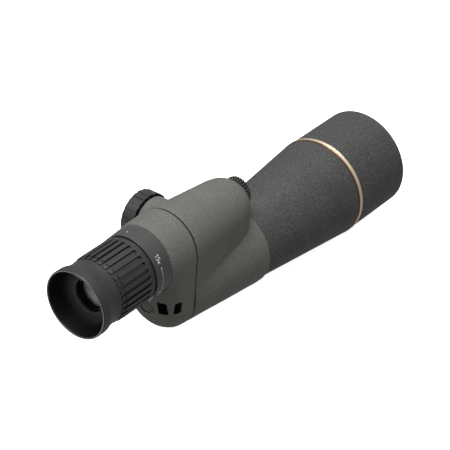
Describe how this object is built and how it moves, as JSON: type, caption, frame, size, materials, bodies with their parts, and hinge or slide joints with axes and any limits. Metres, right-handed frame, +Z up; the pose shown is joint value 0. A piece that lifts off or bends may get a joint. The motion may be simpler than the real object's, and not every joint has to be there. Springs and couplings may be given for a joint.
{
  "type": "spotting scope",
  "caption": "Compact straight zoom spotting scope with raised eyepiece, ribbed zoom ring, side coarse-focus knob, small fine-focus wheel and a tripod thread underneath.",
  "frame": {"origin": "mouth of the tripod thread, in the plane of the flat pad under the housing", "axes": "+X along the optical axes from the eyecup to the objective hood, +Y to the scope's left (the focus knob's side), +Z up"},
  "size_m": [0.279, 0.0781, 0.0908],
  "materials": {
    "green_armour": "matte, fine grain",
    "black_rubber": "matte",
    "black_satin": "satin anodised",
    "grey_texture": "matte, pebbled",
    "gold": "fine turned, gold anodised",
    "glass": "polished, coated",
    "prism_glass": "polished",
    "black_aluminium": "black anodised",
    "steel": "satin",
    "brass": "turned"
  },
  "bodies": {
    "housing": {"badge": "green_armour", "bracket_screw_1": "steel", "bracket_screw_2": "steel", "bracket_screw_3": "steel", "cover_gasket": "black_rubber", "crown_lens": "glass", "eye_lens": "glass", "eye_lens_retainer": "black_aluminium", "eyecup": "black_rubber", "eyepiece_barrel": "black_aluminium", "eyepiece_prism": "prism_glass", "field_lens": "glass", "field_stop": "black_aluminium", "fine_bushing": "brass", "flint_lens": "glass", "focus_bushing": "brass", "focus_seal": "black_rubber", "gold_ring": "gold", "guide_plate": "black_aluminium", "left_guide_rod": "steel", "lens_spacer": "black_aluminium", "light_baffle": "black_aluminium", "lower_prism_clip": "steel", "main_housing": "green_armour", "objective_cell": "black_aluminium", "objective_hood": "grey_texture", "objective_prism": "prism_glass", "objective_retainer": "black_aluminium", "objective_seal": "black_rubber", "objective_tube": "grey_texture", "prism_bracket": "black_aluminium", "rear_cover": "green_armour", "relay_prism": "prism_glass", "right_guide_rod": "steel", "scale_ring": "black_satin", "tripod_insert": "brass", "upper_prism_clip": "steel", "zoom_seal": "black_rubber"},
    "zoom": {"zoom_ring": "black_satin", "cam_sleeve": "black_aluminium", "zoom_drive_key": "steel"},
    "front_zoom_group": {"front_zoom_cell": "black_aluminium", "front_zoom_lens": "glass", "front_zoom_pin": "steel"},
    "rear_zoom_group": {"rear_zoom_cell": "black_aluminium", "rear_zoom_lens": "glass", "rear_zoom_pin": "steel"},
    "focus_knob_group": {"focus_knob": "black_rubber", "focus_knob_cap": "black_satin", "focus_knob_screw": "steel", "focus_shaft": "steel", "focus_pinion": "brass"},
    "fine_focus": {"fine_wheel": "black_rubber", "fine_screw": "steel"},
    "carriage": {"focus_carriage": "black_aluminium", "focus_lens": "glass", "focus_lens_retainer": "black_aluminium", "focus_nut": "brass"}
  },
  "joints": [
    {"name": "zoom_ring_turn", "type": "hinge", "parent": "housing", "child": "zoom", "pos_m": [-0.081, 0, 0.0583], "axis": [1, 0, 0], "range_deg": [0, 194]},
    {"name": "front_zoom_slide", "type": "slide", "parent": "housing", "child": "front_zoom_group", "axis": [1, 0, 0], "range_m": [0, 0.00605]},
    {"name": "rear_zoom_slide", "type": "slide", "parent": "housing", "child": "rear_zoom_group", "axis": [1, 0, 0], "range_m": [-0.00405, 0]},
    {"name": "focus_knob_turn", "type": "hinge", "parent": "housing", "child": "focus_knob_group", "pos_m": [-0.0064, 0.0395, 0.048], "axis": [0, 1, 0], "range_deg": [-140, 80]},
    {"name": "focus_slide", "type": "slide", "parent": "housing", "child": "carriage", "axis": [1, 0, 0], "range_m": [-0.0051, 0.0089]},
    {"name": "fine_wheel_turn", "type": "hinge", "parent": "housing", "child": "fine_focus", "pos_m": [0.0336, 0, 0.062], "axis": [1, 0, 0], "range_deg": [-793, 454]}
  ],
  "couplings": [
    {"joint": "front_zoom_slide", "follows": "zoom_ring_turn", "m_per_rad": 0.001772},
    {"joint": "rear_zoom_slide", "follows": "zoom_ring_turn", "m_per_rad": -0.0011814},
    {"joint": "focus_slide", "follows": "focus_knob_turn", "m_per_rad": -0.0036},
    {"joint": "fine_wheel_turn", "follows": "focus_knob_turn", "ratio": 5.6549}
  ]
}
